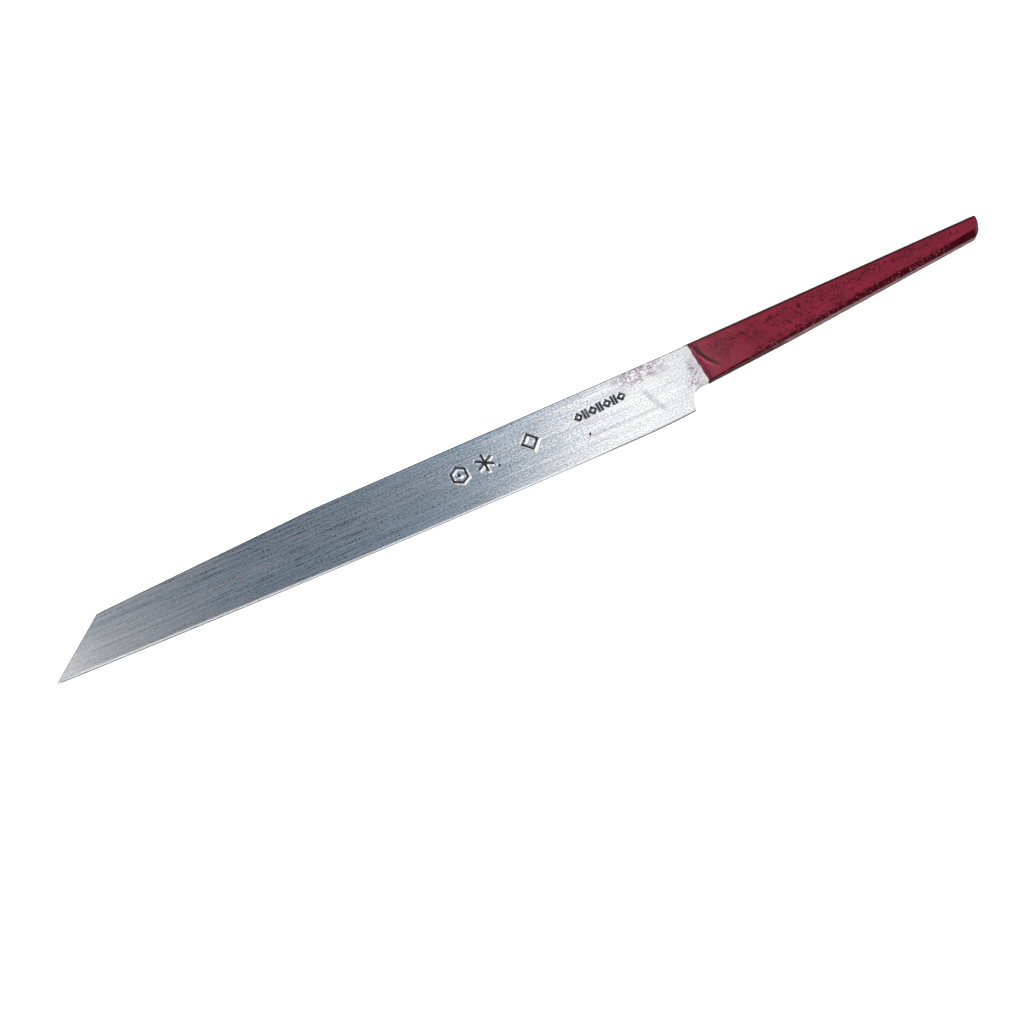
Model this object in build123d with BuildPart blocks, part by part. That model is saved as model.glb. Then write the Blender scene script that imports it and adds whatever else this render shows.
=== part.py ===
from build123d import *
import math
import os

# Chip carving blade: a bar of tool steel ground to one bevel on its back, with a narrow tang that is
# dipped in lacquer, ready to be driven into a handle. Millimetres. X runs from the tip to the tang's end,
# the cutting edge faces -Y, and the knife lies on its back with its flat front face up (+Z).
# Points in the plan are counted from the tip, (0, 0).

# driving dimensions
bar_thickness = 2.4
coat = 0.15  # thickness of the lacquer
clear = 2.0  # how far a cutter runs past the steel
heel_x = 109.7  # heel corner of the cutting edge
heel_y = -1.0
end_x = 164.45  # far end of the steel tang
paint_line = 113.4  # where the lacquer starts
spine_slant = 20.0  # degrees, the spine leans out towards the back

# spine, at the front face
tip_cut = (10.35, 8.02)  # top of the slanted cut at the tip
taper_end = (48.5, 9.64)  # the spine runs parallel to the edge from here
spine_heel = (111.0, 9.7)
end_lean = 0.15  # the tang's end is not quite square
tang_top = (end_x - end_lean, 10.28)

# cutting edge: y = edge_slope * x + edge_curve * x^2, up to where the heel curls up
edge_slope = -0.0287
edge_curve = 0.000146
edge_end = 100.0

# tang: its lower wall runs straight from the shoulder to the end
shoulder = (110.95, 2.56)
shoulder_radius = 2.4
tang_low_end = 7.5
end_radius = 1.3

# back bevel and the honed strip on the front
edge_thickness = 0.08
bevel_run = 8.7  # width of the bevel, from the edge to the ridge
bevel_end = 112.0  # from here the bevel's plane runs out under the tang
run_out_end = 130.0
run_out_shift = 2.8  # how far the bevel's ridge has moved to the tang's wall by then
hone_width = 0.48  # at the tip
hone_taper = 0.0018  # narrower by this for each millimetre towards the heel
hone_slope = 0.2

# chamfer along the tang's lower front edge: it grows from next to nothing and flares at the end
chamfer_least = 0.05
chamfer_from = 113.0
chamfer_run = 34.0
tang_chamfer = 0.7
flare_at = 160.0
flare = 0.2

# punched marks on the front face
mark_height = 3.2
mark_stroke = 0.4
mark_depth = 0.15
star_turns = (30, 90, 150)
hexagon_at = (71.25, 5.05)
star_at = (75.75, 5.3)
dot_at = (77.7, 3.95)
lozenge_at = (83.7, 5.5)
hexagon_dot = 0.32  # radii of the dot in the hexagon and of the lone dot
lone_dot = 0.24
ink_row_at = (96.2, 6.1)
ink_turn = 3.0  # the row was struck a little out of true
ink_height = 1.6
ink_stroke = 0.34
tick_gap = 0.5  # between the middles of two ticks
ink_depth = 0.1
ink_pitch = 2.54  # from one lozenge to the next
ink_lozenges = 4
fleck_at = (92.9, 2.56)
fleck_radii = (0.28, 0.14)
fleck_turn = 65
fleck_height = 0.06

slant_out = bar_thickness * math.tan(math.radians(spine_slant))
x_mid = (end_x + coat) / 2
y_low = edge_slope * edge_end + edge_curve * edge_end**2
y_high = tang_top[1] + slant_out + coat
y_mid = (y_low + y_high) / 2


def level(height):
    """Plan plane at a height, with the tip at its origin."""
    return Plane(origin=(-x_mid, -y_mid, height))


def station(x):
    """Cross-section plane at x: its local x is the row's Y, its local y is Z."""
    return Plane(origin=(x - x_mid, -y_mid, 0), x_dir=(0, 1, 0), z_dir=(1, 0, 0))


def edge_y(x):
    return edge_slope * x + edge_curve * x**2


def tang_wall_y(x):
    """Y of the tang's lower wall."""
    t = (x - shoulder[0]) / (end_x - shoulder[0])
    return shoulder[1] + (tang_low_end - shoulder[1]) * t


def bar_outline(height, spine_shift, grow=0.0):
    """Face of the whole bar in plan, with its spine moved out and its walls grown."""
    corner_drop = spine_shift * (taper_end[0] - tip_cut[0]) / (
        taper_end[0] - tip_cut[0] - tip_cut[0] * (taper_end[1] - tip_cut[1]) / tip_cut[1]
    )
    cut_y = tip_cut[1] + corner_drop
    cut_x = tip_cut[0] * cut_y / tip_cut[1]
    with BuildSketch(level(height)) as outline:
        with BuildLine():
            edge = ThreePointArc((0, 0), (edge_end / 2, edge_y(edge_end / 2)), (edge_end, edge_y(edge_end)))
            heel = TangentArc(edge @ 1, (heel_x, heel_y), tangent=edge % 1)
            Polyline(
                heel @ 1,
                shoulder,
                (end_x, tang_low_end),
                (end_x, tang_top[1] + spine_shift),
                (spine_heel[0], spine_heel[1] + spine_shift),
                (taper_end[0], taper_end[1] + spine_shift),
                (cut_x, cut_y),
                (0, 0),
            )
        make_face()
        corners = outline.vertices().sort_by(Axis.X)
        fillet(corners[-2:].sort_by(Axis.Y)[0], radius=end_radius)
        inner = outline.vertices().sort_by_distance(
            Vector(shoulder[0] - x_mid, shoulder[1] - y_mid, height)
        )[0]
        fillet(inner, radius=shoulder_radius)
        if grow:
            offset(amount=grow, kind=Kind.INTERSECTION)
    return outline.sketch


def ground_cut(stations, profile):
    """Cutter that a grinding pass sweeps: its profile lofted through a list of stations."""
    with BuildPart() as cutter:
        for x in stations:
            with BuildSketch(station(x)):
                with BuildLine():
                    Polyline(*profile(x), close=True)
                make_face()
        loft()
    return cutter.part


def polygon_line(radius, sides, stroke, turn=0.0):
    """Outline of a regular polygon as a line of one width, drawn in the open sketch."""
    RegularPolygon(radius, sides, rotation=turn)
    RegularPolygon(radius - stroke / math.cos(math.pi / sides), sides, rotation=turn, mode=Mode.SUBTRACT)


def punch_marks():
    """The large punch marks: a hexagon with a dot in it, a star, a dot and a lozenge."""
    with BuildPart() as punch:
        with BuildSketch(level(bar_thickness)):
            with Locations(hexagon_at):
                polygon_line(mark_height / 2, 6, mark_stroke, 30)
                Circle(hexagon_dot)
            with Locations(star_at):
                for turn in star_turns:
                    Rectangle(mark_height, mark_stroke, rotation=turn)
            with Locations(dot_at):
                Circle(lone_dot)
            with Locations(lozenge_at):
                polygon_line(mark_height / 2, 4, mark_stroke)
        extrude(amount=-mark_depth)
    return punch.part


def ink_row():
    """The small stamped row: lozenges with a double tick between them, filled with ink."""
    with BuildPart() as row:
        with BuildSketch(level(bar_thickness)):
            with Locations(Location((*ink_row_at, 0), (0, 0, ink_turn))):
                with GridLocations(ink_pitch, 1, ink_lozenges, 1):
                    polygon_line(ink_height / 2, 4, ink_stroke)
                with GridLocations(ink_pitch, 1, ink_lozenges - 1, 1):
                    with Locations((-tick_gap / 2, 0), (tick_gap / 2, 0)):
                        Rectangle(ink_stroke, ink_height)
        extrude(amount=-ink_depth)
    return row.part


def bevel_profile(grow):
    """Profile maker for the bevel on the back, on the steel (0) or on the coat (its thickness)."""

    def profile(x):
        past = max(0.0, x - bevel_end) / (run_out_end - bevel_end)
        y = edge_y(min(x, bevel_end)) - run_out_shift * past
        drop = (bar_thickness - edge_thickness) / bevel_run
        lower = grow * math.hypot(1, drop)
        outer = y - clear
        z_outer = bar_thickness - edge_thickness + clear * drop - lower
        z_foot = -clear * drop - lower
        return [(outer, z_outer), (y + bevel_run + clear, z_foot), (outer, z_foot)]

    return profile


def hone_profile(x):
    y = edge_y(x)
    width = hone_width - hone_taper * x
    low = bar_thickness - hone_slope * (width + clear)
    high = bar_thickness + clear
    return [(y + width, bar_thickness), (y - clear, low), (y - clear, high), (y + width, high)]


def chamfer_profile(grow):
    """Profile maker for the tang's chamfer, on the steel (0) or on the coat (its thickness)."""

    def profile(x):
        size = chamfer_least + tang_chamfer * min(1.0, max(0.0, (x - chamfer_from) / chamfer_run))
        if x > flare_at:
            size = size + flare
        size = size + (2 - math.sqrt(2)) * grow
        y = tang_wall_y(x) - grow
        z = bar_thickness + grow
        return [(y + size + clear, z + clear), (y - clear, z - size - clear), (y - clear, z + clear)]

    return profile


bevel_stations = [-3, 25, 50, 75, 100, bevel_end]
run_out_stations = [bevel_end, run_out_end + clear]
chamfer_stations = [paint_line - clear, chamfer_from, chamfer_from + chamfer_run, flare_at, end_x + clear]

with BuildPart() as blade:
    add(bar_outline(0, slant_out))
    add(bar_outline(bar_thickness, 0))
    loft(ruled=True)
    add(ground_cut(bevel_stations, bevel_profile(0)), mode=Mode.SUBTRACT)
    add(ground_cut(run_out_stations, bevel_profile(0)), mode=Mode.SUBTRACT)
    add(ground_cut(bevel_stations, hone_profile), mode=Mode.SUBTRACT)
    add(ground_cut(chamfer_stations, chamfer_profile(0)), mode=Mode.SUBTRACT)
    # the tang's back is ground down by the coat's thickness, so the dipped knife lies flat
    with BuildSketch(level(0)):
        with Locations((paint_line, y_mid)):
            Rectangle(end_x + clear - paint_line, 2 * y_high, align=(Align.MIN, Align.CENTER))
    extrude(amount=coat, mode=Mode.SUBTRACT)
    add(punch_marks(), mode=Mode.SUBTRACT)
    add(ink_row(), mode=Mode.SUBTRACT)

with BuildPart() as stamp_ink:
    add(ink_row())

with BuildPart() as tang_lacquer:
    add(bar_outline(0, slant_out, coat))
    add(bar_outline(bar_thickness + coat, -coat * slant_out / bar_thickness, coat))
    loft(ruled=True)
    split(bisect_by=station(paint_line), keep=Keep.TOP)
    front = tang_lacquer.faces().sort_by(Axis.Z)[-1]
    fillet(front.edges().sort_by(Axis.Y)[-1], radius=2 * coat)
    add(ground_cut(chamfer_stations, chamfer_profile(coat)), mode=Mode.SUBTRACT)
    add(ground_cut(run_out_stations, bevel_profile(coat)), mode=Mode.SUBTRACT)
    add(blade.part, mode=Mode.SUBTRACT)

with BuildPart() as lacquer_fleck:
    with BuildSketch(level(bar_thickness)):
        with Locations(fleck_at):
            Ellipse(*fleck_radii, rotation=fleck_turn)
    extrude(amount=fleck_height)

os.makedirs("parts", exist_ok=True)
pieces = {
    "blade": blade,
    "tang_lacquer": tang_lacquer,
    "stamp_ink": stamp_ink,
    "lacquer_fleck": lacquer_fleck,
}
for name, piece in pieces.items():
    piece.part.label = name
    export_step(piece.part, f"parts/{name}.step")
    print(name, round(piece.part.volume, 3), piece.part.bounding_box())
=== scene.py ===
import math
import bmesh
import bpy
import numpy as np
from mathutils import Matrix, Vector, noise


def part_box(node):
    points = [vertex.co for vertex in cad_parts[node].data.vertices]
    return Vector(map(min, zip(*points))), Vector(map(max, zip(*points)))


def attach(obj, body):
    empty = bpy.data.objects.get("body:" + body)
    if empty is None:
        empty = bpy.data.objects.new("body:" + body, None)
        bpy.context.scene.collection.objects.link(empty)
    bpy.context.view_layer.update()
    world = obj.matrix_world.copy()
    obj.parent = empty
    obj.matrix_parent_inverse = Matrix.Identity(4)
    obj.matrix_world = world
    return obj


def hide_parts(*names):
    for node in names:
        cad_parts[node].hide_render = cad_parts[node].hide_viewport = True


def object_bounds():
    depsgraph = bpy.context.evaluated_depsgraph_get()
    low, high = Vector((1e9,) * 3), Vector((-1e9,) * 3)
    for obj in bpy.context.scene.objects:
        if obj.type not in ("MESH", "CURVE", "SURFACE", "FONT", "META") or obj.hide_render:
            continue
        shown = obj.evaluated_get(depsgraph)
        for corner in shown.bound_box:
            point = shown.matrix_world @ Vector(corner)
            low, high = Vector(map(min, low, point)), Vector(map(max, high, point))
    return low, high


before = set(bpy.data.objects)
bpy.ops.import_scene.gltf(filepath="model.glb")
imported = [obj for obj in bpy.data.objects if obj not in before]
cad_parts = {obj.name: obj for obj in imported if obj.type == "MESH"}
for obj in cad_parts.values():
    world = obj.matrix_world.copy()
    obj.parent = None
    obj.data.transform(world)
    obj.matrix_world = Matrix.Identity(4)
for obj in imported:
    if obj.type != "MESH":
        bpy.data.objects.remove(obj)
cadLow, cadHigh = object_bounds()  # the CAD box, before any piece is added
print("frame loaded")

mm = 0.001

# the bar of steel, in millimetres counted from the tip, as it is ground
bar = {
    "thickness": 2.4,
    "coat": 0.15,
    "slant": 20.0,  # lean of the spine, degrees
    "tipCut": (10.35, 8.02),
    "taperEnd": (48.5, 9.64),
    "spineHeel": (111.0, 9.7),
    "tangTop": (164.3, 10.28),
    "heel": (109.7, -1.0),
    "edgeEnd": 100.0,
    "edgeSlope": -0.0287,
    "edgeCurve": 0.000146,
    "shoulder": (110.95, 2.56),
    "shoulderRound": 2.4,
    "tangEnd": (164.45, 7.5),
    "endRound": 1.3,
    "paintLine": 113.4,
    "bevelRun": 8.7,
    "bevelEnd": 112.0,  # from here the bevel's plane runs out under the tang
    "runOutEnd": 130.0,
    "runOutShift": 2.8,
    "edgeThickness": 0.08,
    "honeWidth": 0.48,  # at the tip
    "honeTaper": 0.0018,  # narrower by this for each millimetre
    "honeSlope": 0.2,
    "chamferRise": (113.0, 147.0),  # the chamfer grows between these
    "tangChamfer": 0.7,
    "chamferLeast": 0.05,
    "chamferSlope": 1.15,
    "flareRise": (157.0, 165.0),  # and flares between these
    "flare": 0.2,
}
slantOut = bar["thickness"] * math.tan(math.radians(bar["slant"]))
tipX = -cadHigh[0] / mm  # the tip's place in the row frame, from the CAD box
tipY = cadLow[1] / mm - (bar["edgeSlope"] * bar["edgeEnd"] + bar["edgeCurve"] * bar["edgeEnd"] ** 2)


def inRow(points):
    # points in millimetres from the tip become metres in the row frame
    points = np.asarray(points, dtype=float)
    return (points + np.array([tipX, tipY, 0.0])) * mm


def smooth(low, high, value):
    t = np.clip((np.asarray(value, dtype=float) - low) / (high - low), 0, 1)
    return t * t * (3 - 2 * t)


def waver(x, y, lengthX, lengthY, seed):
    # soft seeded noise over the plan, about -1 to 1, with lumps of that length and width
    flat = [noise.noise(Vector((a / lengthX, b / lengthY, seed))) for a, b in zip(np.ravel(x), np.ravel(y))]
    return np.array(flat).reshape(np.shape(x))


def edgeY(x):
    return bar["edgeSlope"] * x + bar["edgeCurve"] * x * x


def heelY(x):
    # the edge curls up to the heel's corner
    start = bar["edgeEnd"]
    curl = (bar["heel"][1] - edgeY(start)) / (bar["heel"][0] - start) ** 2
    return edgeY(start) + curl * (x - start) ** 2


def tangWallY(x):
    x0, y0 = bar["shoulder"]
    x1, y1 = bar["tangEnd"]
    return y0 + (y1 - y0) * (x - x0) / (x1 - x0)


def meshObject(name, points, faces, **layers):
    # layers are named values, one for each point
    mesh = bpy.data.meshes.new(name)
    mesh.from_pydata([tuple(p) for p in points], [], faces)
    for label, values in layers.items():
        mesh.attributes.new(label, "FLOAT", "POINT").data.foreach_set("value", list(values))
    piece = bpy.data.objects.new(name, mesh)
    bpy.context.scene.collection.objects.link(piece)
    build = bmesh.new()
    build.from_mesh(mesh)
    bmesh.ops.remove_doubles(build, verts=build.verts, dist=0.000002)
    bmesh.ops.dissolve_degenerate(build, edges=build.edges, dist=0.0000005)
    bmesh.ops.recalc_face_normals(build, faces=build.faces)
    build.to_mesh(mesh)
    build.free()
    for face in mesh.polygons:
        face.use_smooth = True
    return piece


def ringFaces(rows, count):
    # quads between neighbouring closed rings
    faces = []
    for i in range(rows - 1):
        for j in range(count):
            k = (j + 1) % count
            faces.append((i * count + j, (i + 1) * count + j, (i + 1) * count + k, i * count + k))
    return faces


def node(tree, kind, wires=None, **settings):
    made = tree.nodes.new("ShaderNode" + kind)
    for key, value in settings.items():
        setattr(made, key, value)
    for slot, value in (wires or {}).items():
        if isinstance(value, bpy.types.NodeSocket):
            tree.links.new(value, made.inputs[slot])
        else:
            made.inputs[slot].default_value = value
    return made


def calc(tree, operation, first, second=0.0):
    return node(tree, "Math", {0: first, 1: second}, operation=operation).outputs[0]


def blendColour(tree, amount, first, second, mode="MIX"):
    made = node(tree, "Mix", {0: amount, 6: first, 7: second}, data_type="RGBA", blend_type=mode)
    return made.outputs[2]


def stretch(tree, value, low, high, toLow=0.0, toHigh=1.0):
    wires = {"Value": value, "From Min": low, "From Max": high, "To Min": toLow, "To Max": toHigh}
    return node(tree, "MapRange", wires, interpolation_type="SMOOTHSTEP").outputs[0]


def newGroup(name, inlets, outlets):
    tree = bpy.data.node_groups.new(name, "ShaderNodeTree")
    for label, kind, value in inlets:
        socket = tree.interface.new_socket(label, in_out="INPUT", socket_type="NodeSocket" + kind)
        if value is not None:
            socket.default_value = value
    for label, kind in outlets:
        tree.interface.new_socket(label, in_out="OUTPUT", socket_type="NodeSocket" + kind)
    return tree, tree.nodes.new("NodeGroupInput"), tree.nodes.new("NodeGroupOutput")


def grindGroup():
    # long streaks that a belt leaves: noise drawn out along one direction, in millimetres
    tree, inlet, outlet = newGroup(
        "grindStreaks",
        [("Vector", "Vector", None), ("Length", "Float", 20.0), ("Width", "Float", 0.2),
         ("Turn", "Float", 0.0), ("Shift", "Float", 0.0)],
        [("Streak", "Float")],
    )
    place, width = inlet.outputs["Vector"], inlet.outputs["Width"]
    turned = node(tree, "VectorRotate", {"Vector": place, "Angle": inlet.outputs["Turn"]},
                  rotation_type="Z_AXIS").outputs[0]
    size = node(tree, "CombineXYZ", {"X": inlet.outputs["Length"], "Y": width, "Z": width}).outputs[0]
    scaled = node(tree, "VectorMath", {0: turned, 1: size}, operation="DIVIDE").outputs[0]
    moved = node(tree, "VectorMath", {0: scaled, 1: inlet.outputs["Shift"]}, operation="ADD").outputs[0]
    grain = node(tree, "TexNoise", {"Vector": moved, "Scale": 1.0, "Detail": 1.0, "Roughness": 0.5})
    tree.links.new(grain.outputs[0], outlet.inputs["Streak"])
    return tree


def spotGroup():
    # scattered small spots, kept where a broad noise allows them
    tree, inlet, outlet = newGroup(
        "scatteredSpots",
        [("Vector", "Vector", None), ("Size", "Float", 0.4), ("Cover", "Float", 0.3),
         ("Patch", "Float", 6.0)],
        [("Mask", "Float")],
    )
    small = node(tree, "VectorMath", {0: inlet.outputs["Vector"], 1: inlet.outputs["Size"]},
                 operation="DIVIDE").outputs[0]
    broad = node(tree, "VectorMath", {0: inlet.outputs["Vector"], 1: inlet.outputs["Patch"]},
                 operation="DIVIDE").outputs[0]
    fine = node(tree, "TexNoise", {"Vector": small, "Scale": 1.0, "Detail": 2.0}).outputs[0]
    patch = node(tree, "TexNoise", {"Vector": broad, "Scale": 1.0, "Detail": 1.0}).outputs[0]
    limit = calc(tree, "SUBTRACT", 0.72, calc(tree, "MULTIPLY", inlet.outputs["Cover"], 0.3))
    both = calc(tree, "ADD", fine, calc(tree, "MULTIPLY", calc(tree, "SUBTRACT", patch, 0.5), 0.5))
    mask = stretch(tree, calc(tree, "SUBTRACT", both, limit), 0.0, 0.06)
    tree.links.new(mask, outlet.inputs["Mask"])
    return tree


grindStreaks = grindGroup()
scatteredSpots = spotGroup()


def newMaterial(name):
    material = bpy.data.materials.new(name)
    material.use_nodes = True
    tree = material.node_tree
    tree.nodes.clear()
    shader = node(tree, "BsdfPrincipled")
    node(tree, "OutputMaterial", {"Surface": shader.outputs[0]})
    place = node(tree, "TexCoord").outputs["Object"]
    inMm = node(tree, "VectorMath", {0: place, "Scale": 1 / mm}, operation="SCALE").outputs[0]
    return material, tree, shader, inMm


def setShader(shader, **values):
    for key, value in values.items():
        shader.inputs[key.replace("_", " ")].default_value = value


steel = {
    "dull": (0.38, 0.455, 0.53, 1),
    "mauve": (0.44, 0.452, 0.497, 1),
    # the pale tone that the painted sheen blends to
    "paleSheen": (0.80, 0.79, 0.785, 1),
    # nearly black, for grime and painted shade
    "grimeAndShade": (0.012, 0.012, 0.014, 1),
    "stain": (0.47, 0.40, 0.50, 1),
    "rust": (0.16, 0.05, 0.07, 1),
    # streaks of the grind: length, width, turn, shift and share
    "scratches": [(1.3, 0.14, 0.02, 0.0, 0.45), (7.0, 0.16, -0.01, 5.0, 0.9), (40.0, 0.3, 0.015, 7.0, 0.6)],
    "speckle": (0.34, 0.15, 0.12, 9.0, 1.0),
    "band": (60.0, 0.9, 0.015, 3.0, 1.0),
    "bandShare": 0.7,  # how far the broad bands move the colour towards the pale sheen tone
    "tintRange": (-0.12, 0.4),  # from dull to mauve
    "contrast": (2.8, 1.15),  # of the grain, where the steel is dull and where the sheen is painted bright
    "clouds": {"Size": 0.6, "Cover": 0.85, "Patch": 2.2},
    "cloudShare": 0.7,
    "flecks": {"Size": 0.2, "Cover": 0.55, "Patch": 1.0},
    "fleckShare": 0.8,
    "roughness": (0.22, 0.38),
    "stainedRoughness": 0.3,  # rougher by this under grime, painted shade and stain
    "bump": (0.4, 0.00002),
}


def groundSteel():
    material, tree, shader, inMm = newMaterial("groundSteel")

    def layer(name):
        return node(tree, "Attribute", attribute_name=name).outputs["Fac"]

    def streak(length, width, turn, shift, share):
        wires = {"Vector": inMm, "Length": length, "Width": width, "Turn": turn, "Shift": shift}
        made = node(tree, "Group", wires, node_tree=grindStreaks)
        return calc(tree, "MULTIPLY", calc(tree, "SUBTRACT", made.outputs[0], 0.5), share)

    def spots(kind):
        made = node(tree, "Group", {"Vector": inMm, **steel[kind]}, node_tree=scatteredSpots)
        return calc(tree, "MULTIPLY", made.outputs[0], layer("stained"))

    sheenAndPolish, grimeAndShade = layer("sheenAndPolish"), layer("grimeAndShade")
    scratches = 0.0
    for values in steel["scratches"]:
        scratches = calc(tree, "ADD", scratches, streak(*values))
    scratches = calc(tree, "MULTIPLY", scratches, layer("streaky"))
    grain = calc(tree, "ADD", scratches, streak(*steel["speckle"]))
    band = streak(*steel["band"])

    # dull bluish steel turns mauve in bands, and pale where the sheen is painted on
    tint = calc(tree, "ADD", band, calc(tree, "MULTIPLY", grain, 0.5))
    tint = calc(tree, "ADD", tint, calc(tree, "MULTIPLY", sheenAndPolish, 0.45))
    colour = blendColour(tree, stretch(tree, tint, *steel["tintRange"]), steel["dull"], steel["mauve"])
    even = calc(tree, "ADD", sheenAndPolish, calc(tree, "MULTIPLY", band, steel["bandShare"]))
    colour = blendColour(tree, stretch(tree, even, 0.0, 1.0), colour, steel["paleSheen"])
    contrast = stretch(tree, sheenAndPolish, 0.0, 0.8, *steel["contrast"])
    light = calc(tree, "ADD", calc(tree, "MULTIPLY", grain, contrast), 1.0)
    colour = node(tree, "VectorMath", {0: colour, "Scale": light}, operation="SCALE").outputs[0]

    # stains lie over it, and then the grime layer, which is mostly painted shade
    cloud = calc(tree, "MULTIPLY", spots("clouds"), steel["cloudShare"])
    colour = blendColour(tree, cloud, colour, steel["stain"])
    fleck = calc(tree, "MULTIPLY", spots("flecks"), steel["fleckShare"])
    colour = blendColour(tree, fleck, colour, steel["rust"])
    colour = blendColour(tree, grimeAndShade, colour, steel["grimeAndShade"])
    tree.links.new(colour, shader.inputs["Base Color"])

    smoothest, roughest = steel["roughness"]
    covered = calc(tree, "MULTIPLY", calc(tree, "ADD", grimeAndShade, cloud), steel["stainedRoughness"])
    rough = calc(tree, "ADD", stretch(tree, grain, -0.4, 0.4, roughest, smoothest), covered)
    tree.links.new(rough, shader.inputs["Roughness"])
    strength, distance = steel["bump"]
    bump = node(tree, "Bump", {"Strength": strength, "Distance": distance, "Height": grain})
    tree.links.new(bump.outputs[0], shader.inputs["Normal"])
    setShader(shader, Metallic=1.0)
    return material


lacquerTones = {
    "body": (0.212, 0.014, 0.032, 1),
    # layer painted on the coat: its colour and how much of it
    "rim": ((0.16, 0.010, 0.052, 1), 0.6),
    # the light tone of the painted highlights
    "paintedHighlight": ((0.36, 0.06, 0.095, 1), 1.0),
    # the dark tone of the painted shade and of pooled lacquer
    "pooled": ((0.036, 0.0005, 0.003, 1), 1.0),
    "mottle": 0.9,
    "roughness": (0.14, 0.75),  # glossy, and rubbed dull
    "bump": (0.35, 0.00003),
}


def redLacquer():
    material, tree, shader, inMm = newMaterial("redLacquer")
    fineWires = {"Vector": inMm, "Scale": 3.2, "Detail": 2.0, "Roughness": 0.7}
    fine = node(tree, "TexNoise", fineWires).outputs[0]
    soft = node(tree, "TexNoise", {"Vector": inMm, "Scale": 0.35, "Detail": 2.0}).outputs[0]
    mottle = calc(tree, "ADD", calc(tree, "SUBTRACT", fine, 0.5), calc(tree, "SUBTRACT", soft, 0.5))
    colour = lacquerTones["body"]
    # the rim's magenta, then the painted highlights, then the painted shade
    for layer in ("rim", "paintedHighlight", "pooled"):
        tone, amount = lacquerTones[layer]
        mask = node(tree, "Attribute", attribute_name=layer).outputs["Fac"]
        mask = calc(tree, "MULTIPLY", calc(tree, "MULTIPLY", mask, amount), calc(tree, "ADD", mottle, 1.0))
        colour = blendColour(tree, mask, colour, tone)
    light = calc(tree, "ADD", calc(tree, "MULTIPLY", mottle, lacquerTones["mottle"]), 1.0)
    colour = node(tree, "VectorMath", {0: colour, "Scale": light}, operation="SCALE").outputs[0]
    tree.links.new(colour, shader.inputs["Base Color"])
    rubbed = node(tree, "Attribute", attribute_name="rubbed").outputs["Fac"]
    rough = stretch(tree, rubbed, 0.0, 1.0, *lacquerTones["roughness"])
    tree.links.new(rough, shader.inputs["Roughness"])
    strength, distance = lacquerTones["bump"]
    bump = node(tree, "Bump", {"Strength": strength, "Distance": distance, "Height": fine})
    tree.links.new(bump.outputs[0], shader.inputs["Normal"])
    setShader(shader, IOR=1.45)
    return material


inkTones = {"full": (0.006, 0.006, 0.008, 1), "worn": (0.12, 0.12, 0.13, 1), "wornRange": (0.45, 0.68)}


def blackInk():
    material, tree, shader, inMm = newMaterial("blackInk")
    fillWires = {"Vector": inMm, "Scale": 0.9, "Detail": 3.0, "Roughness": 0.7}
    fill = node(tree, "TexNoise", fillWires).outputs[0]
    worn = stretch(tree, fill, *inkTones["wornRange"])
    tree.links.new(blendColour(tree, worn, inkTones["full"], inkTones["worn"]), shader.inputs["Base Color"])
    setShader(shader, Roughness=0.5)
    return material


print("materials ready")


marks = {
    "height": 3.2,
    "stroke": 0.4,
    "depth": 0.15,
    "burr": 0.08,
    "hexagon": (71.25, 5.05),
    "star": (75.75, 5.3),
    "dot": (77.7, 3.95),
    "lozenge": (83.7, 5.5),
    "hexagonDot": 0.32,
    "loneDot": 0.24,
    "row": (96.2, 6.1),
    "rowTurn": 3.0,  # the row was struck a little out of true, degrees
    "rowPitch": 2.54,  # from one lozenge to the next
    "rowCount": 4,
    "rowHeight": 1.6,
    "rowStroke": 0.34,
    "rowDepth": 0.1,
    "tickGap": 0.5,  # between the middles of two ticks
}


def polygonGap(x, y, centre, radius, sides, turn):
    # distance inside (negative) or outside a regular polygon's sides
    px, py = x - centre[0], y - centre[1]
    inner = radius * math.cos(math.pi / sides)
    angles = [turn + math.pi / sides + i * 2 * math.pi / sides for i in range(sides)]
    return np.max([px * math.cos(a) + py * math.sin(a) - inner for a in angles], axis=0)


def strokeGap(gap, stroke):
    # a line of that width just inside a shape's outline
    return np.abs(gap + stroke / 2) - stroke / 2


def markGap(x, y):
    # distance to the nearest large punch mark
    size, stroke = marks["height"] / 2, marks["stroke"]
    gaps = [
        strokeGap(polygonGap(x, y, marks["hexagon"], size, 6, math.pi / 6), stroke),
        np.hypot(x - marks["hexagon"][0], y - marks["hexagon"][1]) - marks["hexagonDot"],
        np.hypot(x - marks["dot"][0], y - marks["dot"][1]) - marks["loneDot"],
        strokeGap(polygonGap(x, y, marks["lozenge"], size, 4, 0), stroke),
    ]
    starX, starY = x - marks["star"][0], y - marks["star"][1]
    for i in range(3):
        c, s = math.cos(math.pi / 2 + i * math.pi / 3), math.sin(math.pi / 2 + i * math.pi / 3)
        along, across = np.abs(starX * c + starY * s), np.abs(starY * c - starX * s)
        gaps.append(np.maximum(along - size, across - stroke / 2))
    return np.minimum.reduce(gaps)


def rowGap(x, y):
    # distance to the nearest small mark: lozenges with a double tick between them
    half, stroke = marks["rowHeight"] / 2, marks["rowStroke"]
    turn = math.radians(marks["rowTurn"])
    px, py = x - marks["row"][0], y - marks["row"][1]
    along = px * math.cos(turn) + py * math.sin(turn)
    up = py * math.cos(turn) - px * math.sin(turn)
    gaps = []
    for i in range(marks["rowCount"]):
        place = (i - (marks["rowCount"] - 1) / 2) * marks["rowPitch"]
        gaps.append(strokeGap(polygonGap(along, up, (place, 0), half, 4, 0), stroke))
    for i in range(marks["rowCount"] - 1):
        for side in (-0.5, 0.5):
            place = (i - (marks["rowCount"] - 2) / 2) * marks["rowPitch"] + side * marks["tickGap"]
            gaps.append(np.maximum(np.abs(along - place) - stroke / 2, np.abs(up) - half))
    return np.minimum.reduce(gaps)


def chamferSize(x):
    grown = bar["tangChamfer"] * float(np.interp(x, bar["chamferRise"], (0, 1)))
    return bar["chamferLeast"] + grown + bar["flare"] * float(smooth(*bar["flareRise"], x))


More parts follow.
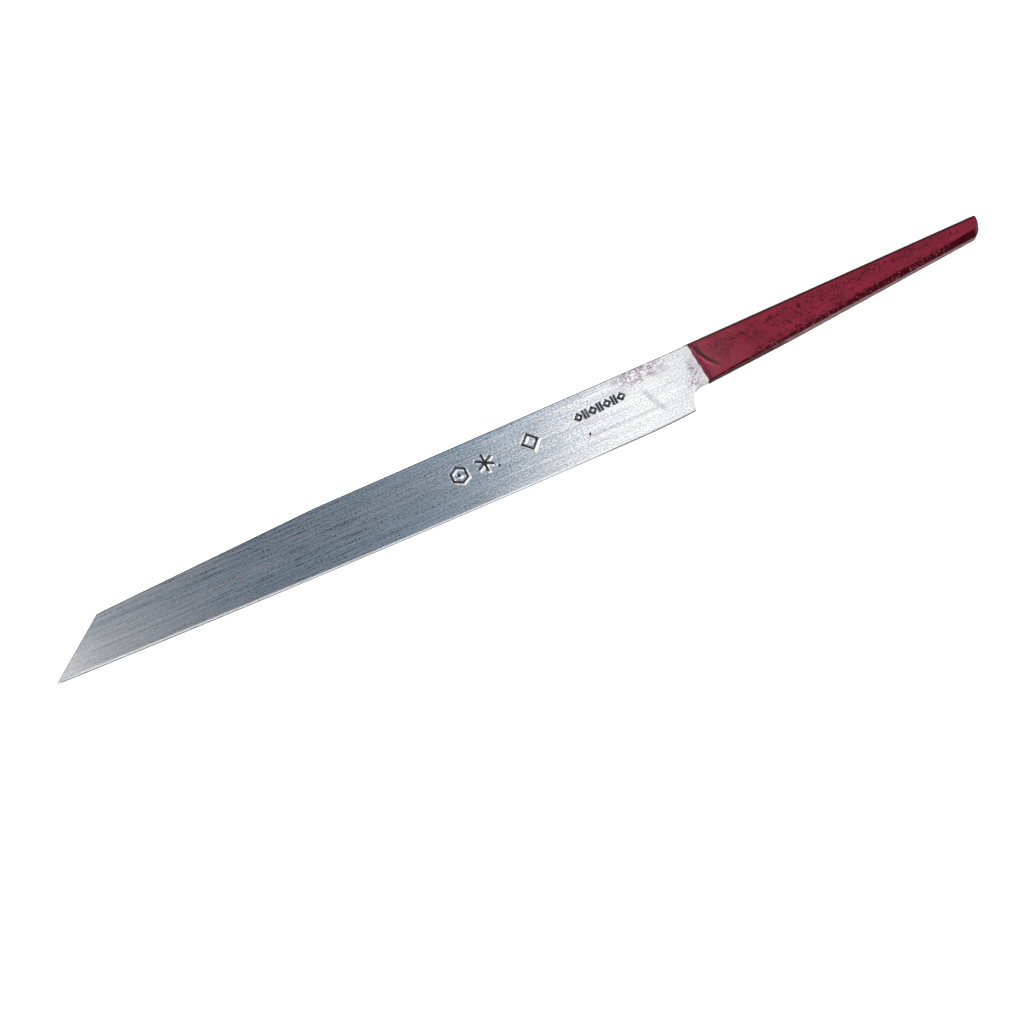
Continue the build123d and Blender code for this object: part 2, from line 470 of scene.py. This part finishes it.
def frontZ(x, y, gapToEdge, hone, chamfer):
    # height of the front face: hone strip, tang chamfer, marks and their burrs
    z = np.full_like(x, bar["thickness"])
    z = z - bar["honeSlope"] * np.clip(hone - gapToEdge, 0, None)
    z = z - bar["chamferSlope"] * np.clip(chamfer - gapToEdge, 0, None)
    for gap, depth in ((markGap(x, y), marks["depth"]), (rowGap(x, y), marks["rowDepth"])):
        z = z - depth * smooth(0.05, -0.12, gap)
    return z + marks["burr"] * burrAt(x, y)


def bevelZ(x, y):
    # height of the plane of the back bevel
    drop = (bar["thickness"] - bar["edgeThickness"]) / bar["bevelRun"]
    past = np.clip(x - bar["bevelEnd"], 0, None) / (bar["runOutEnd"] - bar["bevelEnd"])
    start = edgeY(np.minimum(x, bar["bevelEnd"])) - bar["runOutShift"] * past
    return bar["thickness"] - bar["edgeThickness"] - drop * (y - start)


def backZ(x, y):
    # height of the back: the bevel, then flat along the spine, and relieved under the coat
    relief = bar["coat"] * smooth(bar["paintLine"] - 0.1, bar["paintLine"] + 0.1, x)
    return np.maximum(bevelZ(x, y), relief)


def roundedCorner(before, corner, after, radius, steps):
    # points of an arc that rounds a corner in plan
    before, corner, after = (Vector(p) for p in (before, corner, after))
    first, second = (before - corner).normalized(), (after - corner).normalized()
    half = first.angle(second) / 2
    centre = corner + (first + second).normalized() * radius / math.sin(half)
    start = corner + first * radius / math.tan(half) - centre
    stop = corner + second * radius / math.tan(half) - centre
    sweep = start.angle_signed(stop)
    points = []
    for i in range(steps + 1):
        turn = -sweep * i / steps
        c, s = math.cos(turn), math.sin(turn)
        points.append((centre.x + start.x * c - start.y * s, centre.y + start.x * s + start.y * c))
    return points


def spineY(x):
    knots = [bar["tipCut"], bar["taperEnd"], bar["spineHeel"], bar["tangTop"]]
    return np.interp(x, [k[0] for k in knots], [k[1] for k in knots])


def bladeRows():
    # each row is a point on the spine, the one behind it at the back, and one on the edge side
    cutX, cutY = bar["tipCut"]
    slope = (bar["taperEnd"][1] - cutY) / (bar["taperEnd"][0] - cutX)
    backCut = cutX * (1 + slantOut / cutY / (1 - slope * cutX / cutY))
    rows = []
    tipRows, tipEdge = 44, 9.0  # the rows of the tip fan out over this much of the edge
    for i in range(tipRows):
        t = i / tipRows
        low = (tipEdge * t, edgeY(tipEdge * t))
        rows.append(((cutX * t, cutY * t), (backCut * t, backCut * t * cutY / cutX), low))
    square = 30.0  # from here the rows stand square to the blade
    x = cutX
    while x < 107.5:
        t = min(1.0, (x - cutX) / (square - cutX))
        backX = x + (backCut - cutX) * (1 - t)
        edgeX = x - (cutX - tipEdge) * (1 - t)
        low = edgeY(edgeX)
        if edgeX > bar["edgeEnd"]:
            low = heelY(edgeX)
        rows.append(((x, spineY(x)), (backX, spineY(backX) + slantOut), (edgeX, low)))
        step = 0.4
        if x > 69:  # finer rows under the marks
            step = 0.07 if x < 86 else 0.12
        x += step
    # round the heel, up the shoulder and on to the tang's wall
    side = [(107.9 + i * 0.3, heelY(107.9 + i * 0.3)) for i in range(6)]
    side += [tuple(Vector(bar["heel"]).lerp(Vector(bar["shoulder"]), i / 14)) for i in range(9)]
    wall = (bar["shoulder"][0] + 3, tangWallY(bar["shoulder"][0] + 3))
    side += roundedCorner(bar["heel"], bar["shoulder"], wall, bar["shoulderRound"], 12)
    for x, point in zip(np.linspace(107.7, side[-1][0], len(side)), side):
        rows.append(((x, spineY(x)), (x, spineY(x) + slantOut), point))
    start = side[-1][0]
    for i in range(1, 80):
        x = start + 0.4 + (bar["tangEnd"][0] - start - 0.4) * i / 79
        low = tangWallY(x)
        near = bar["tangEnd"][0] - bar["endRound"]
        if x > near:
            reach = x - near
            low += bar["endRound"] - math.sqrt(max(0, bar["endRound"] ** 2 - reach**2))
        rows.append(((x, spineY(x)), (x, spineY(x) + slantOut), (x, low)))
    return rows


coatLook = {
    "lump": 0.014,  # height of the soft lumps
    "overSpine": 0.03,  # a dipped coat is thinnest over a sharp corner
    "endTuck": 0.22,  # the foot of the tang's end is rounded back
    "bead": 0.05,  # how much thicker the coat is at its rim
    "nose": 0.16,  # how far the rim takes to round up from the steel
    "lean": 0.085,  # the paint line leans this much for each millimetre across
    "ragged": 0.11,
    "pit": 0.007,
    "round": 0.07,
    "uneven": [(0.16, 0.5, 11.5), (0.09, 0.17, 12.5)],  # the chamfer's top edge: amount, length, seed
    "unevenRise": (114.0, 124.0),
    "unevenFall": (161.0, 158.0),
    "knob": 0.04,  # height of the knobs on the chamfer
    "outline": (0.36, 0.2),  # the coat is painted dark as shade this far in from the spine
    "foldTop": (113.95, 9.3),  # where the fold in the coat starts, by the spine
    "foldBend": 0.105,
    "foldLength": 5.0,
    "foldDepth": 0.035,
}


wearAndPaintedLight = {
    "tip": (1.15, 4.4),  # how bright the highlight painted on the tip is, and over what length
    "tipSheen": (0.46, 46.0, 14.0),  # a fainter painted sheen: how bright, and where it starts and is full
    "streaky": (70.0, 46.0),  # the long scratches fade between these, towards the heel
    "streakyLeast": 0.45,
    "turn": (64.0, 106.0),  # where the painted sheen takes the steel from dull to bright
    "turnSheen": 0.67,
    "turnLean": 5.0,  # the turn comes earlier at the edge than at the spine
    "edgeLift": 0.1,  # painted brighter towards the edge
    # the heel is painted brighter between these, as a sheen
    "heel": (98.0, 108.0),
    "heelSheen": 0.3,
    "runOut": (103.6, 5.9, 0.28, 0.03),  # where the wheel left the steel: top of the line, lean and bend
    "runOutWidth": 0.5,
    "runOutShade": 0.17,
    "dullStripe": (2.05, 0.2, 0.13),  # a duller scratch above the edge: height, half width, shade
    "stains": [  # centre and reach of each mauve stain
        (104.2, 9.4, 4.3, 2.2),  # by the spine
        (112.5, 5.0, 0.9, 2.6),  # beside the lacquer
        (111.3, 3.5, 1.0, 0.7),  # in the shoulder
    ],
    "litSide": (0.12, -0.34),  # which side of each large mark is lit: the raised lip stands there and is painted bright, and the shade painted in the mark is shifted by part of this
    "burrHighlight": 1.2,
    "honeSheen": 1.3,
    "arrisShade": (0.26, 0.1),  # the arrises are painted dark as shade over this width
}


def burrAt(x, y):
    # 1 on the raised lip beside a large mark, on its lit side, where the lip is painted bright
    shiftX, shiftY = wearAndPaintedLight["litSide"]
    lip = smooth(0.16, -0.12, markGap(x - shiftX, y - shiftY))
    fromDot = np.hypot(x - marks["dot"][0], y - marks["dot"][1])  # the dot was only pricked in
    return lip * smooth(-0.06, 0.02, markGap(x, y)) * smooth(0.7, 1.0, fromDot)


def paintedLightAndWear(x, y, across, width, hone):
    # painted sheen and highlights, stains, and grime with painted shade, at points of the front face; across
    # runs from spine 0 to edge 1
    gapToEdge = (1 - across) * width
    # a painted highlight at the tip, and a fainter painted sheen fading from it
    bright, reach = wearAndPaintedLight["tip"]
    sheen, sheenStart, sheenFull = wearAndPaintedLight["tipSheen"]
    sheenAndPolish = bright * np.exp(-np.hypot(x, y) / reach) + sheen * smooth(sheenStart, sheenFull, x)
    # painted sheen: brighter from the dull middle towards the heel, and a little towards the edge
    turned = smooth(*wearAndPaintedLight["turn"], x + wearAndPaintedLight["turnLean"] * (across - 0.5))
    sheenAndPolish = sheenAndPolish + turned * (wearAndPaintedLight["turnSheen"] + wearAndPaintedLight["edgeLift"] * across)
    # more painted sheen at the heel, and a painted highlight on the lit lip of each large mark
    sheenAndPolish = sheenAndPolish + wearAndPaintedLight["heelSheen"] * smooth(*wearAndPaintedLight["heel"], x) + wearAndPaintedLight["burrHighlight"] * burrAt(x, y)
    # the polished hone strip is also painted bright, as its reflection
    honed = smooth(hone + 0.03, hone - 0.05, gapToEdge) * (hone > 0.05)
    sheenAndPolish = sheenAndPolish + wearAndPaintedLight["honeSheen"] * honed
    startX, startY, lean, bend = wearAndPaintedLight["runOut"]
    down = startY - y
    offLine = (x - startX - lean * down - bend * down**2) / wearAndPaintedLight["runOutWidth"]
    line = np.exp(-(offLine**4)) * smooth(-0.5, 0.8, down) * smooth(5.5, 4.2, down)
    stripeY, stripeHalf, stripeShade = wearAndPaintedLight["dullStripe"]
    stripe = np.exp(-(((y - stripeY) / stripeHalf) ** 2)) * smooth(90, 94, x) * smooth(107, 104, x)
    grimeAndShade = np.maximum(wearAndPaintedLight["runOutShade"] * line, stripeShade * stripe)
    stained = np.zeros_like(x)
    for centreX, centreY, reachX, reachY in wearAndPaintedLight["stains"]:
        off = ((x - centreX) / reachX) ** 4 + ((y - centreY) / reachY) ** 4
        stained = np.maximum(stained, np.exp(-off))
    # painted shade in the large marks
    shiftX, shiftY = wearAndPaintedLight["litSide"]
    shade = np.maximum(markGap(x, y), markGap(x - 0.4 * shiftX, y - 0.4 * shiftY) - 0.03)
    grimeAndShade = np.maximum(grimeAndShade, 0.95 * smooth(0.05, -0.06, shade))
    # painted shade along the spine's arris
    bySpine = (0.72 - 0.3 * smooth(84, 96, x)) * smooth(*wearAndPaintedLight["arrisShade"], across * width)
    grimeAndShade = np.maximum(grimeAndShade, bySpine * smooth(0.5, 2.0, width))
    # painted shade along the edge towards the heel
    atHeel = smooth(84, 100, x) * (x < bar["heel"][0] + 0.2)
    grimeAndShade = np.maximum(grimeAndShade, 0.9 * smooth(*wearAndPaintedLight["arrisShade"], gapToEdge) * atHeel)
    least = wearAndPaintedLight["streakyLeast"]
    streaky = least + (1 - least) * smooth(*wearAndPaintedLight["streaky"], x)
    return {"sheenAndPolish": sheenAndPolish, "stained": stained, "grimeAndShade": grimeAndShade, "streaky": streaky}


def makeBlade():
    rings = []
    layers = {"sheenAndPolish": [], "stained": [], "grimeAndShade": [], "streaky": []}
    inner = 150
    for spine, back, edge in bladeRows():
        spine, back, edge = (np.array(p, dtype=float) for p in (spine, back, edge))
        width = np.linalg.norm(edge - spine)
        onTang = edge[0] > bar["shoulder"][0] - 0.6 and edge[1] > 1
        hone = max(0.0, bar["honeWidth"] - bar["honeTaper"] * edge[0]) * (1 - float(smooth(96, 108, edge[0])))
        hone = min(hone, width * 0.5)
        soft = min(0.1, width * 0.1)
        chamfer = chamferSize(edge[0]) if onTang else 0.0
        last = width - max(hone, chamfer, 0.04)
        along = np.concatenate([
            [0, soft * 0.3, soft], np.linspace(soft, last, inner)[1:], [last + (width - last) * 0.5, width],
        ])
        share = (along / max(width, 1e-6))[:, None]
        plan = spine + (edge - spine) * share
        z = frontZ(plan[:, 0], plan[:, 1], width - along, 0 if onTang else hone, chamfer)
        z[:3] -= soft * np.array([0.6, 0.2, 0.0])  # soft arris along the spine
        front = np.column_stack([plan, z])
        backShare = np.concatenate([np.linspace(0, 0.72, 22), np.linspace(0.76, 1, 8)])[:, None]
        foot = edge + coatLook["endTuck"] * float(smooth(163.0, 164.3, edge[0])) * np.array([-1.0, 1.0])
        planBack = foot + (back - foot) * backShare
        zBack = backZ(planBack[:, 0], planBack[:, 1])
        zBack = np.minimum(zBack, bar["thickness"] - 0.01)
        under = np.column_stack([planBack, zBack])
        under[0, 2] = min(under[0, 2], front[-1, 2] - 0.015)
        wall = front[-1] + (under[0] - front[-1]) * np.array([[0.5], [0.82]])
        sideShare = np.linspace(0, 1, 6)[1:-1, None]
        sideWall = under[-1] + (front[0] - under[-1]) * sideShare
        rings.append(np.vstack([front, wall, under, sideWall]))
        # painted sheen and shade, with stains and streaks, for the front face
        worn = paintedLightAndWear(plan[:, 0], plan[:, 1], share[:, 0], width, 0 if onTang else hone)
        # the back and the sides are plain; on the tang they are painted dark as shade
        rest = {"sheenAndPolish": 0.5, "stained": 0.0, "grimeAndShade": 0.6 if onTang else 0.0, "streaky": 1.0}
        for label, values in worn.items():
            unseen = len(rings[0]) - len(values)
            layers[label].append(np.pad(values, (0, unseen), constant_values=rest[label]))
        if onTang:
            top = len(plan)
            layers["grimeAndShade"][-1][top : top + 2] = 0.0  # the tang's wall is painted dark as shade only along its foot
            # and painted bright above its foot, as a highlight
            layers["sheenAndPolish"][-1][top : top + 2] = 1.2
    count = len(rings[0])
    points = inRow(np.vstack(rings))
    faces = ringFaces(len(rings), count)
    faces.append(tuple(range(count)))
    faces.append(tuple(reversed(range((len(rings) - 1) * count, len(rings) * count))))
    piece = meshObject("bladeSteel", points, faces, **{k: np.concatenate(v) for k, v in layers.items()})
    piece.data.materials.append(groundSteel())
    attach(piece, "root")
    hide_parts("blade")
    return piece


blade = makeBlade()
print("blade made,", len(blade.data.polygons), "faces")


def lacquerRing(x, coat):
    # outside of the coat at one station, from the spine's front corner round to it again
    top = bar["thickness"] + coat
    high = spineY(x) + coat * coatLook["overSpine"] / bar["coat"]
    low = tangWallY(x) - coat
    near = bar["tangEnd"][0] - bar["endRound"]
    if x > near:
        corner = bar["endRound"] + coat
        reach = min(x - near, corner)
        low += corner - math.sqrt(corner**2 - reach**2)
    uneven = 0.0
    for amount, length, seed in coatLook["uneven"]:
        uneven += amount * float(waver(x, 0.0, length, 1.0, seed))
    uneven *= float(smooth(*coatLook["unevenRise"], x) * smooth(*coatLook["unevenFall"], x))
    size = min(chamferSize(x) + 0.08 + uneven, (high - low) * 0.5)
    arris = coatLook["round"]
    points, kinds = [], []

    def put(y, z, kind):
        points.append((y, z))
        kinds.append(kind)

    for i in range(5):
        a = math.pi / 2 * (1 - i / 4) * 0.8
        put(high - arris * (1 - math.sin(a)), top - arris * (1 - math.cos(a)), "arris")
    for y in np.linspace(high - arris, low + size, 84)[1:]:
        put(y, top, "face")
    for i in range(1, 13):
        t = i / 12
        put(low + size * (1 - t), top - size * 1.1 * t, "chamfer")

    def foot(y):
        return max(bar["coat"] - coat, float(bevelZ(x, y)) - 1.035 * coat)

    for z in np.linspace(top - size * 1.1, foot(low) + 0.12, 12)[1:]:
        put(low, z, "side")
    put(low + 0.03, foot(low) + 0.03, "foot")
    put(low + 0.1, foot(low + 0.1), "foot")
    backHigh = spineY(x) + coat + slantOut
    for y in np.linspace(low + 0.3, backHigh - 0.1, 24):
        put(y, foot(y), "back")
    put(backHigh - 0.02, 0.04, "back")
    for z in np.linspace(0.1, top - arris, 10)[:-1]:
        put(backHigh + (high - backHigh) * z / top, z, "spine")
    return points, kinds


def foldOffset(x, y):
    # distance to the right of the fold's curved line, and how strong the fold is there
    foldX, foldY = coatLook["foldTop"]
    down = foldY - y
    length = coatLook["foldLength"]
    strength = smooth(-0.1, 0.6, down) * smooth(length + 0.4, length - 1.4, down)
    return x - foldX - coatLook["foldBend"] * np.clip(down, 0, None) ** 2, strength


def pitsAt(x, y):
    # small wrinkles in a band below the spine, with a few strays further down
    below = spineY(x) - y
    middle = np.interp(x, [118, 135, 153], [2.0, 1.45, 1.1])
    band = np.exp(-(((below - middle) / 0.62) ** 2)) * smooth(114.5, 117, x) * smooth(163, 158, x)
    stray = np.exp(-(((below - middle - 1.5) / 0.7) ** 2)) * smooth(116, 118, x) * smooth(146, 138, x)
    where = np.maximum(band, 0.75 * stray)
    wrinkle = waver(x + 0.35 * y, y, 0.16, 0.32, 3.7) + 0.3 * waver(x, y, 1.6, 1.2, 8.1)
    return smooth(0.36, 0.56, wrinkle + 0.22 * where) * smooth(0.1, 0.4, where)


# how dark each part of the coat is painted, as shade
coatShade = {
    "arris": 1.0,
    "face": 0.0,
    "chamfer": 0.8,
    "side": 0.15,
    "foot": 0.9,
    "back": 0.1,
    "spine": 0.5,
}


def shapeCoat(points, kinds):
    # turns the plain coat into a dipped one, and returns the layers that colour it
    x, y, z = points.T
    start, end = bar["paintLine"], bar["tangEnd"][0]
    face, chamfer, side = kinds == "face", kinds == "chamfer", kinds == "side"
    low = side | (kinds == "foot")

    # relief of the face: lumps, pits, the fold and the bead along the rim
    fold, strength = foldOffset(x, y)
    pits = np.where(face, pitsAt(x, y), 0)
    lump = coatLook["lump"] * waver(x, y, 2.6, 1.3, 1.3) * smooth(start, start + 1, x)
    trough = np.exp(-(((fold - 0.26) / 0.38) ** 4)) * strength
    ridge = np.exp(-(((fold + 0.32) / 0.16) ** 2)) * strength
    rise = lump - coatLook["pit"] * pits + coatLook["foldDepth"] * (1.2 * ridge - 0.2 * trough)
    rise = rise + coatLook["bead"] * np.exp(-(((x - start - 0.3) / 0.22) ** 2))
    z = np.where(face, z + rise, z)

    # knobs on the chamfer, and the mottled painted shade that borders it
    knobs = waver(x, y, 0.34, 0.17, 5.5) + 0.5 * waver(x, y, 0.9, 0.5, 9.5)
    knobs = knobs * smooth(115, 126, x) * smooth(161, 157, x)
    z = np.where(chamfer, z + coatLook["knob"] * knobs, z)
    above = y - tangWallY(x)
    shore = smooth(chamferSize(130) + 0.5, 0.0, above - 0.6) * smooth(115, 126, x) * smooth(161, 157, x)
    y = np.where(chamfer | low, y - 0.035 * waver(x, z, 0.9, 0.45, 6.2), y)

    # the ragged, leaning paint line
    ragged = coatLook["ragged"] * (waver(y, z, 0.9, 0.9, 2.2) + 0.6 * waver(y, z, 0.3, 0.3, 4.2))
    lean = 0.1 + coatLook["lean"] * (6.5 - y)
    x = x + (lean + ragged) * smooth(start + 1.6, start, x)

    # painted shade: along the arris, over the chamfer, side, foot, back and spine, in the pits, the fold's
    # trough and the corner at the foot of the paint line, beside the chamfer and at the end; less on the
    # chamfer's knobs
    pooled = np.array([coatShade[kind] for kind in kinds])
    above = y - tangWallY(x)
    corner = np.exp(-np.hypot(x - start - 0.7, above - 0.2) / 0.5)
    nearSpine = smooth(*coatLook["outline"], spineY(x) + coatLook["overSpine"] - coatLook["round"] - y)
    onFace = np.maximum(0.9 * pits + trough + 0.6 * corner, 0.9 * nearSpine)
    onFace = np.maximum(onFace, 0.9 * shore * smooth(0.05, 0.3, knobs))
    pooled = np.where(face, onFace, pooled)
    pooled = np.where(chamfer, pooled - 0.7 * smooth(0.3, 0.55, knobs), pooled)
    byShoulder = smooth(134, 124, x + 3 * waver(x, 0 * x, 1.6, 1.0, 7.3))
    pooled = np.where(side, pooled + 0.5 * byShoulder, pooled)
    pooled = np.maximum(pooled, 0.8 * smooth(end - 0.1, end + 0.12, x))
    rubbed = np.where(low, byShoulder, np.where(face, 0.5 * trough, 0))

    # painted highlights on the fold's ridge and the chamfer's knobs, lighter on the lower face near the
    # shoulder, and magenta along the rim
    soft = 0.16 * smooth(126, 117, x) * smooth(3.6, 0.8, above) * smooth(0.4, 1.2, fold)
    paintedHighlight = np.where(face, 0.8 * ridge + soft, 0)
    paintedHighlight = paintedHighlight + np.where(chamfer, 0.75 * smooth(0.25, 0.5, knobs), 0)
    rim = np.where(face, smooth(start + 1.5, start + 0.3, x) * smooth(9.0, 7.0, y), 0)

    # the foot of the end is tucked in
    atEnd = smooth(163.0, 164.3, x) * np.clip(1 - z / bar["thickness"], 0, 1) * smooth(9.6, 8.6, y)
    x = x - coatLook["endTuck"] * atEnd
    y = y + coatLook["endTuck"] * atEnd
    layers = {"pooled": pooled, "paintedHighlight": paintedHighlight, "rim": rim, "rubbed": rubbed}
    return np.column_stack([x, y, z]), layers


def makeLacquer():
    start, end = bar["paintLine"], bar["tangEnd"][0] + bar["coat"]
    stations = [start + step for step in (0, 0.02, 0.05, 0.09, 0.14, 0.2)]
    stations += list(np.linspace(start + 0.28, start + 4, 42))
    stations += list(np.linspace(start + 4.1, end - 0.4, 440))
    stations += [end - 0.25, end - 0.12, end - 0.04, end]
    rings, kinds = [], []
    for x in stations:
        u = min(1.0, (x - start) / coatLook["nose"])
        ring, ringKinds = lacquerRing(x, bar["coat"] * (0.1 + 0.9 * math.sqrt(u * (2 - u))))
        past = max(0.0, (x - end + 0.25) / 0.25)  # the last quarter millimetre is rounded
        shrink = 0.25 * (1 - math.sqrt(max(0.0, 1 - past**2)))
        centreY = (max(p[0] for p in ring) + min(p[0] for p in ring)) / 2
        for y, z in ring:
            y += (centreY - y) * shrink * 0.25
            z += (bar["thickness"] / 2 - z) * shrink * 0.35
            rings.append((x, y, z))
        kinds += ringKinds
    count = len(ring)
    faces = ringFaces(len(stations), count)
    faces.append(tuple(reversed(range((len(stations) - 1) * count, len(stations) * count))))
    points, layers = shapeCoat(np.array(rings), np.array(kinds))
    piece = meshObject("lacquerCoat", inRow(points), faces, **layers)
    wall = piece.modifiers.new("wall", "SOLIDIFY")
    wall.thickness = 0.1 * mm
    wall.offset = -1
    piece.data.materials.append(redLacquer())
    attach(piece, "root")
    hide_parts("tang_lacquer")
    return piece


lacquer = makeLacquer()
print("lacquer made,", len(lacquer.data.polygons), "faces")

fleckShape = {"rings": 7, "around": 22, "height": 0.07, "turn": 65, "sink": 0.01}


def makeFleck():
    # a dried drop: a low dome with an uneven outline
    low, high = (np.array(corner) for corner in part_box("lacquer_fleck"))
    centre, half = (low + high) / 2, (high - low) / 2
    points, faces = [], []
    around = fleckShape["around"]
    for i in range(fleckShape["rings"]):
        tilt = math.pi / 2 * i / (fleckShape["rings"] - 1)
        for j in range(around):
            turn = 2 * math.pi * j / around
            wide = 1.05 * (1 + 0.16 * math.sin(2 * turn + 0.5) + 0.1 * math.sin(3 * turn)) * math.cos(tilt)
            rise = fleckShape["height"] * math.sin(tilt) - fleckShape["sink"] * (i == 0)
            points.append((centre[0] + half[0] * wide * math.cos(turn),
                           centre[1] + half[1] * wide * math.sin(turn), low[2] + rise * mm))
    faces = ringFaces(fleckShape["rings"], around)
    faces.append(tuple(reversed(range(around))))
    # the drop is coloured darker than the coat
    piece = meshObject("lacquerDrop", points, faces, pooled=[0.75] * len(points))
    piece.data.materials.append(bpy.data.materials["redLacquer"])
    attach(piece, "root")
    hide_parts("lacquer_fleck")
    return piece


makeFleck()
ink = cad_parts["stamp_ink"]
ink.data.materials.clear()
ink.data.materials.append(blackInk())
print("fleck and ink made")


studio = {
    "floorSize": 3.0,
    "floorGlow": 1.0,
    "horizon": (0.40, 0.42, 0.45, 1),
    "ceiling": (0.20, 0.22, 0.25, 1),
    "doorway": (0.05, 0.05, 0.055, 1),  # the dark side of the room, towards -Y
    "suns": [(-90, 48, 1.3), (92, 48, 1.3)],  # azimuth, elevation, strength
    "sunAngle": 9,
    "cards": {  # centre, size and glow; the long gradient on the steel comes from these, together with the sheen painted into the steel's colour
        "edgeCard": ((0.05, -0.17, 0.6), (0.36, 0.26), 1.3),
        "heelCard": ((0.0415, 0.05, 0.15), (0.038, 0.16), 1.5),
        "tipCard": ((-0.0955, 0.05, 0.15), (0.044, 0.16), 1.0),
    },
}


def makeFloor():
    mesh = bpy.data.meshes.new("floor")
    half = studio["floorSize"]
    corners = [(-half, -half, 0), (half, -half, 0), (half, half, 0), (-half, half, 0)]
    mesh.from_pydata([(x, y, -0.00005) for x, y, z in corners], [], [(0, 1, 2, 3)])
    floor = bpy.data.objects.new("floor", mesh)
    bpy.context.scene.collection.objects.link(floor)
    material, tree, shader, inMm = newMaterial("palePaper")
    fibre = node(tree, "TexNoise", {"Vector": inMm, "Scale": 0.8, "Detail": 2.0}).outputs[0]
    tree.links.new(blendColour(tree, fibre, (0.86, 0.86, 0.86, 1), (0.88, 0.88, 0.88, 1)),
                   shader.inputs["Base Color"])
    seen = node(tree, "LightPath").outputs["Is Camera Ray"]
    tree.links.new(calc(tree, "MULTIPLY", seen, studio["floorGlow"]), shader.inputs["Emission Strength"])
    setShader(shader, Roughness=0.9, Emission_Color=(1, 1, 1, 1))
    mesh.materials.append(material)
    return floor


def makeWorld():
    world = bpy.data.worlds.new("studioWorld")
    bpy.context.scene.world = world
    world.use_nodes = True
    tree = world.node_tree
    tree.nodes.clear()
    direction = node(tree, "TexCoord").outputs["Generated"]
    height = node(tree, "SeparateXYZ", {0: direction}).outputs["Z"]
    colour = blendColour(tree, stretch(tree, height, 0.1, 0.8), studio["horizon"], studio["ceiling"])
    side = node(tree, "SeparateXYZ", {0: direction}).outputs["Y"]
    colour = blendColour(tree, stretch(tree, side, -0.8, -0.4, 1.0, 0.0), colour, studio["doorway"])
    seen = node(tree, "LightPath").outputs["Is Camera Ray"]
    colour = blendColour(tree, seen, colour, (1, 1, 1, 1))  # the backdrop itself shows white
    back = node(tree, "Background", {"Color": colour, "Strength": 1.0})
    node(tree, "OutputWorld", {"Surface": back.outputs[0]})


def makeSun(name, azimuth, elevation, strength, angle):
    data = bpy.data.lights.new(name, "SUN")
    data.energy = strength
    data.angle = math.radians(angle)
    lamp = bpy.data.objects.new(name, data)
    bpy.context.scene.collection.objects.link(lamp)
    lamp.rotation_euler = (math.radians(90 - elevation), 0, math.radians(azimuth))
    return lamp


def makeCard(name, centre, size, glow):
    # a flat soft light that faces down; glow is its brightness as the steel mirrors it
    data = bpy.data.lights.new(name, "AREA")
    data.shape = "RECTANGLE"
    data.size, data.size_y = size
    data.energy = glow * math.pi * size[0] * size[1]
    lamp = bpy.data.objects.new(name, data)
    bpy.context.scene.collection.objects.link(lamp)
    lamp.location = centre
    lamp.visible_camera = False
    return lamp


view = {
    "azimuth": -25.055,
    "elevation": 70.0,
    "distance": 0.89494,
    "lens": 200.0,
    "target": (76.556, -3.294, 0.0),  # millimetres from the tip
}


def makeCamera():
    target = Vector(inRow(view["target"]))
    a, e = math.radians(view["azimuth"]), math.radians(view["elevation"])
    back = Vector((math.sin(a) * math.cos(e), -math.cos(a) * math.cos(e), math.sin(e)))
    data = bpy.data.cameras.new("camera")
    data.lens = view["lens"]
    data.sensor_width = 36.0
    data.clip_start, data.clip_end = 0.01, 50
    camera = bpy.data.objects.new("camera", data)
    bpy.context.scene.collection.objects.link(camera)
    camera.location = target + back * view["distance"]
    camera.rotation_euler = back.to_track_quat("Z", "Y").to_euler()
    bpy.context.scene.camera = camera
    return camera


makeFloor()
makeWorld()
for i, (azimuth, elevation, strength) in enumerate(studio["suns"]):
    makeSun(f"sun{i}", azimuth, elevation, strength, studio["sunAngle"])
for name, (centre, size, glow) in studio["cards"].items():
    makeCard(name, centre, size, glow)
makeCamera()
bpy.context.scene.view_settings.view_transform = "Standard"
print("studio ready")
